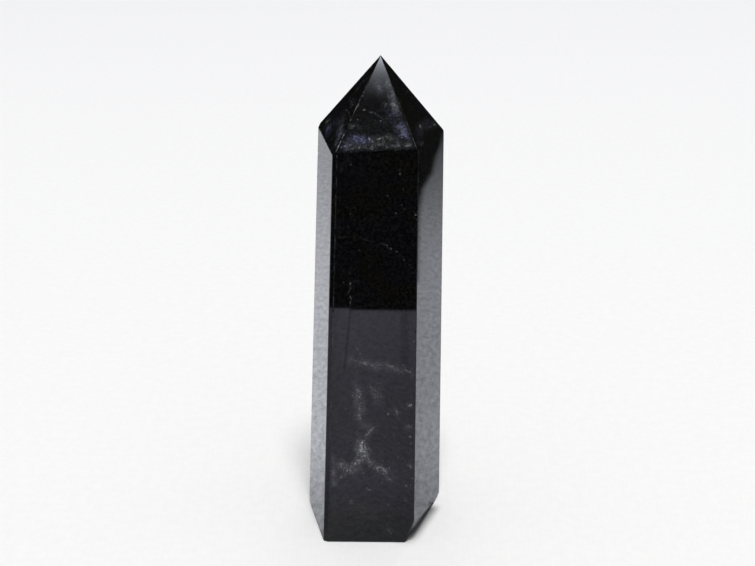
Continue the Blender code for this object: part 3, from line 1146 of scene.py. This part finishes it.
def floor_material():
    """A pale, faintly woven sheet, with a painted shadow under the crystal's front right chamfer.
    """
    n = Nodes("pale_sheet")
    place = n.place()
    x, y = n.axes(place)
    waves = [n.math("SINE", n.math("MULTIPLY", axis, 2.0 * pi / (WEAVE * MM))) for axis in (x, y)]
    slub = n.ramp(n.noise(place, *SLUB), 0.3, 0.7, -SLUB_TONE, SLUB_TONE)
    # the painted shadow under the chamfer at the crystal's front right foot
    out, along = beside_chamfer(n, x, y)
    painted_shade = n.product(*n.each_changed(along, PAINTED_SHADE_ALONG), *n.each_changed(out, PAINTED_SHADE_OUT))
    weave = [(wave, WEAVE_TONE) for wave in waves]
    tone = n.weighted(*weave, (slub, 1.0), (painted_shade, -1.0))
    colour = n.mix(n.changed(y, FLOOR_COLOUR), FLOOR_NEAR, FLOOR_FAR)
    toned = {"Color": colour, "Value": n.math("ADD", tone, 1.0)}
    colour = n.add("ShaderNodeHueSaturation", toned).outputs["Color"]
    surface = {"Base Color": colour, "Roughness": FLOOR_ROUGHNESS, "Specular IOR Level": 0.0}
    return n.finish(n.add("ShaderNodeBsdfPrincipled", surface))


def make_floor():
    """The pale floor that the camera sees."""
    mesh = bmesh.new()
    bmesh.ops.create_circle(mesh, cap_ends=True, segments=FLOOR_CORNERS, radius=FLOOR_RADIUS)
    bmesh.ops.translate(mesh, vec=(0.0, 0.0, -FLOOR_SINK), verts=mesh.verts)
    rays = ("camera", "diffuse", "transmission", "shadow")
    stage_object("floor", mesh, floor_material(), *rays)


def line_in_sheet(n, x, y, middle, darkness, end):
    """How a painted dark line that runs away from the crystal dims the sheet."""
    beside = n.math("ABSOLUTE", n.math("SUBTRACT", x, middle * MM))
    return n.most(n.changed(beside, darkness), n.changed(y, end))


def sheet_shades(n, place, x, y):
    """All the painted light and shade of the sheet, by where on it the faces look."""
    reach = n.add("ShaderNodeVectorMath", {0: place}, operation="LENGTH").outputs["Value"]
    out, along = beside_chamfer(n, x, y)
    corner = n.product(
        n.changed(x, CORNER[0]), n.changed(y, CORNER[1]), n.changed(reach, CORNER_SHADE)
    )
    lit = n.product(n.changed(out, LIT_OUT), n.changed(along, LIT_ALONG))
    lit = n.math("ADD", lit, LEAST_LIT)
    under = n.most(lit, *n.each_changed(out, UNDER_OUT), *n.each_changed(along, UNDER_ALONG))
    side = n.math("ABSOLUTE", x)
    drawn_out = {
        axis: n.weighted((side, shares[0]), (y, shares[1]))
        for axis, shares in (("X", SPECKLE_X), ("Y", SPECKLE_Y))
    }
    speckle = n.noise(n.add("ShaderNodeCombineXYZ", drawn_out).outputs["Vector"], *SPECKLE)
    slant = n.weighted((x, FAR_RIGHT_WAY[0]), (y, FAR_RIGHT_WAY[1]))
    return (
        n.changed(x, TO_RIGHT),
        n.changed(y, TO_BACK),
        n.changed(y, FROM_RIM),
        n.changed(reach, BY_CRYSTAL),
        n.changed(reach, FAR_AWAY),
        n.changed(slant, FAR_RIGHT),
        n.math("SUBTRACT", 1.0, corner),
        n.most(*n.each_changed(y, IN_FRONT)),
        under,
        n.most(line_in_sheet(n, x, y, *STRIPE), n.changed(y, STRIPE_START)),
        line_in_sheet(n, x, y, *BAND),
        n.ramp(speckle, 0.3, 0.7, 0.70, 1.30, smooth=False),
    )


def sheet_material():
    """A glow that paints how bright the lit floor looks in the polished faces, by where on it they
    look.
    """
    n = Nodes("mirrored_sheet")
    place = n.place()
    x, y = n.axes(place)
    light = n.product(*sheet_shades(n, place, x, y), n.attribute("fade"))
    # neutral to the left, bluish to the right, and warmer in front
    tint = n.mix(n.changed(x, SHEET_COLOURS[0]), SHEET_LEFT_COLOUR, SHEET_RIGHT_COLOUR)
    tint = n.mix(n.changed(y, SHEET_COLOURS[1]), tint, SHEET_FRONT_COLOUR)
    return n.glow(tint, light)


def make_mirrored_sheet():
    """The floor as the polished faces see it: a glowing sheet of limited size in a dark room, a
    painted reflection that only glossy rays meet.
    """
    mesh = bmesh.new()
    fade = mesh.verts.layers.float.new("fade")
    rim = [Vector((x, y, 0.0)) * MM for x, y in SHEET_RIM]
    inner, outer = [], []
    for before, corner, after in zip(rim[-1:] + rim, rim, rim[1:] + rim[:1]):
        ways = [(corner - before).normalized(), (after - corner).normalized()]
        side = sum((Vector((-way.y, way.x, 0.0)) for way in ways), Vector()).normalized()
        inner.append(mesh.verts.new(corner + side * SHEET_FADE * MM * 0.5))
        outer.append(mesh.verts.new(corner - side * SHEET_FADE * MM * 0.5))
        inner[-1][fade] = 1.0
    mesh.faces.new(inner)
    for index, corner in enumerate(outer):
        after = (index + 1) % len(rim)
        mesh.faces.new((corner, outer[after], inner[after], inner[index]))
    bmesh.ops.translate(mesh, vec=(0.0, 0.0, -2.0 * FLOOR_SINK), verts=mesh.verts)
    stage_object("mirrored_sheet", mesh, sheet_material(), "glossy")


# What lies beyond the floor, a dim room for the polished faces and a pale one to look at:
# name, radius in m, colour, brightness, and the rays that meet it
DARK_ROOM = ("dark_room", 3.0, (0.95, 0.97, 1.0, 1.0), 0.012, "glossy")
BACKDROP = ("backdrop", 3.6, (0.985, 0.985, 1.0, 1.0), 0.86, "camera")
DOME_DETAIL = 4  # icosphere subdivisions


def make_dome(name, radius, colour, brightness, ray):
    """A plain glowing dome round the stage."""
    mesh = bmesh.new()
    bmesh.ops.create_icosphere(mesh, subdivisions=DOME_DETAIL, radius=radius)
    stage_object(name, mesh, Nodes(name).glow(colour, brightness), ray)


def aim(item, place, target):
    """Puts an object at a place and turns its -Z axis to a target."""
    item.location = place
    item.rotation_mode = "QUATERNION"
    item.rotation_quaternion = (Vector(target) - Vector(place)).to_track_quat("-Z", "Y")


CARD_SIDE = 0.16  # m, half of it
CARD_AWAY = 0.5  # m from the crystal's tip
CARD_WAY = (-172.2, 61.3)  # degrees from +Y towards +X, and above the level
CARD_AIM = Vector((1.2, -1.0, 94.0)) * MM
GLOW_COLOUR = (0.92, 0.97, 1.1, 1.0)
GLOW_STRENGTH, GLOW_LEAST = 11.2, 0.08
GLOW_START = 0.0117  # m up the card, below which the lamp fades
GLOW_HALF = 0.0039  # m over which it fades to half
GLOW_END = Change(-13.5, -5.0)  # up the card, where it has faded out


def make_glow_card():
    """The soft edge of a lamp overhead, which the tip of the front pyramid face mirrors."""
    mesh = bmesh.new()
    bmesh.ops.create_grid(mesh, x_segments=1, y_segments=1, size=CARD_SIDE)
    n = Nodes("glow_card")
    up = n.axes(n.place())[1]
    fall = n.math("DIVIDE", n.math("SUBTRACT", up, GLOW_START), GLOW_HALF)
    light = n.math("MINIMUM", n.math("POWER", 2.0, fall), 1.0)
    light = n.product(light, n.changed(up, GLOW_END))
    material = n.glow(GLOW_COLOUR, n.math("MULTIPLY_ADD", light, GLOW_STRENGTH, GLOW_LEAST))
    card = stage_object("glow_card", mesh, material, "glossy")
    turn, rise = (radians(angle) for angle in CARD_WAY)
    way = Vector((sin(turn), cos(turn), tan(rise))).normalized()
    aim(card, CARD_AIM + way * CARD_AWAY, CARD_AIM)


# Square lights: name, azimuth and rise in degrees, distance and side in m, power in W, and
# whether it casts shadows
LIGHTS = (
    ("overhead", 9.0, 73.0, 4.0, 0.8, 112.0, True),
    ("behind", 176.0, 50.0, 3.0, 2.2, 9.0, True),
    ("left_side", -98.0, 47.0, 0.8, 0.22, 0.2, False),
    ("right_side", 98.0, 47.0, 0.8, 0.22, 0.15, False),
)
LIT_POINT = Vector((0.0, 0.0, 0.04))
WORLD_COLOUR = (0.98, 0.985, 1.0, 1.0)
WORLD_STRENGTH = 0.33


def soft_light(name, azimuth, rise, distance, size, power, shadow):
    """A soft square light that looks at the crystal, and that its faces don't mirror."""
    lamp = bpy.data.lights.new(name, "AREA")
    lamp.shape = "SQUARE"
    lamp.size = size
    lamp.energy = power
    lamp.use_shadow = shadow
    item = linked(name, lamp)
    item.visible_glossy = False
    aim(item, LIT_POINT + outward(azimuth, rise) * distance, LIT_POINT)


def make_lights():
    """Soft light: a lamp high up in front, weak ones behind and on each side, and the world."""
    for light in LIGHTS:
        soft_light(*light)
    world = bpy.data.worlds.new("studio")
    bpy.context.scene.world = world
    world.use_nodes = True
    background = world.node_tree.nodes["Background"]
    background.inputs["Color"].default_value = WORLD_COLOUR
    background.inputs["Strength"].default_value = WORLD_STRENGTH
    world.cycles_visibility.glossy = False
    world.cycles_visibility.transmission = False


SENSOR, LENS = 36.0, 68.209  # mm
CLIP = (0.01, 20.0)  # m
CAMERA_PLACE = (4.89 * MM, -255.79 * MM, 157.35 * MM)
CAMERA_DOWN = 22.7435  # degrees below the level
CAMERA_TURN = 0.95  # degrees to the left


def make_camera():
    """The camera, a little above the crystal and in front of it."""
    data = bpy.data.cameras.new("camera")
    data.sensor_width = SENSOR
    data.lens = LENS
    data.clip_start, data.clip_end = CLIP
    camera = linked("camera", data)
    camera.location = CAMERA_PLACE
    camera.rotation_euler = (radians(90.0 - CAMERA_DOWN), 0.0, radians(CAMERA_TURN))
    bpy.context.scene.camera = camera


def corners(box):
    """A box as plain lists."""
    return [[float(number) for number in corner] for corner in box]


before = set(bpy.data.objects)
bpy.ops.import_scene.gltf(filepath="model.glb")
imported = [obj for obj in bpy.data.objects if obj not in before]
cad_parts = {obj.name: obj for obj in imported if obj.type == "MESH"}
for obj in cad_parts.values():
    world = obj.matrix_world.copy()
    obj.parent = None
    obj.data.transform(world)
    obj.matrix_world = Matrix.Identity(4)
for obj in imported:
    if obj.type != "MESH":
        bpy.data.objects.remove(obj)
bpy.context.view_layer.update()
bpy.context.scene.view_settings.view_transform = "Standard"
bpy.context.scene.view_settings.look = "None"
make_camera()
tower = morion_tower(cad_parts["crystal"])
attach(tower, "root")
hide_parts("crystal")
make_floor()
make_mirrored_sheet()
make_dome(*DARK_ROOM)
make_dome(*BACKDROP)
make_glow_card()
make_lights()
